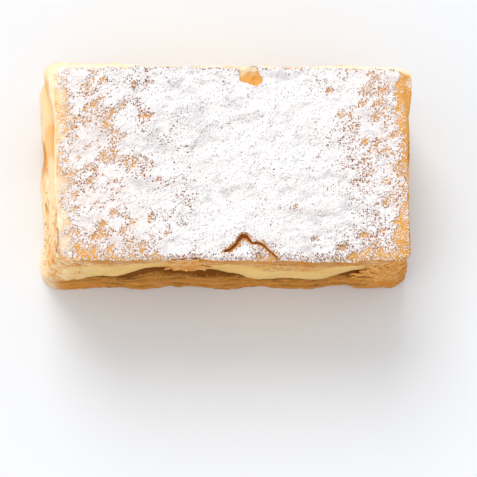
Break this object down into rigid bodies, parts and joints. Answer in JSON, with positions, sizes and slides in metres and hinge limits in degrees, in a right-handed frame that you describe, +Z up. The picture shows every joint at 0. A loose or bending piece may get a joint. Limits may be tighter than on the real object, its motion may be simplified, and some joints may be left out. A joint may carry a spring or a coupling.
{
  "type": "mille feuille slice",
  "caption": "Cut slice of mille feuille: a flaky puff pastry base, a thick layer of custard cream and a flaky puff pastry top under icing sugar.",
  "frame": {"origin": "centre of the slice's footprint, on the surface that it rests on", "axes": "+X along the slice's length, -Y towards the front cut, +Z up from the base sheet to the sugared top"},
  "size_m": [0.118, 0.0662, 0.0384],
  "materials": {
    "base_pastry": "baked puff pastry, dry, flaky and matt, golden brown with darker rims",
    "custard_cream": "set custard cream, pale yellow, soft and slightly moist",
    "top_pastry": "baked puff pastry, dry and flaky, golden brown",
    "icing_sugar": "icing sugar, white, powdery and fully matt"
  },
  "bodies": {
    "root": {"base_pastry": "base_pastry", "custard_cream": "custard_cream", "top_pastry": "top_pastry"}
  },
  "joints": []
}
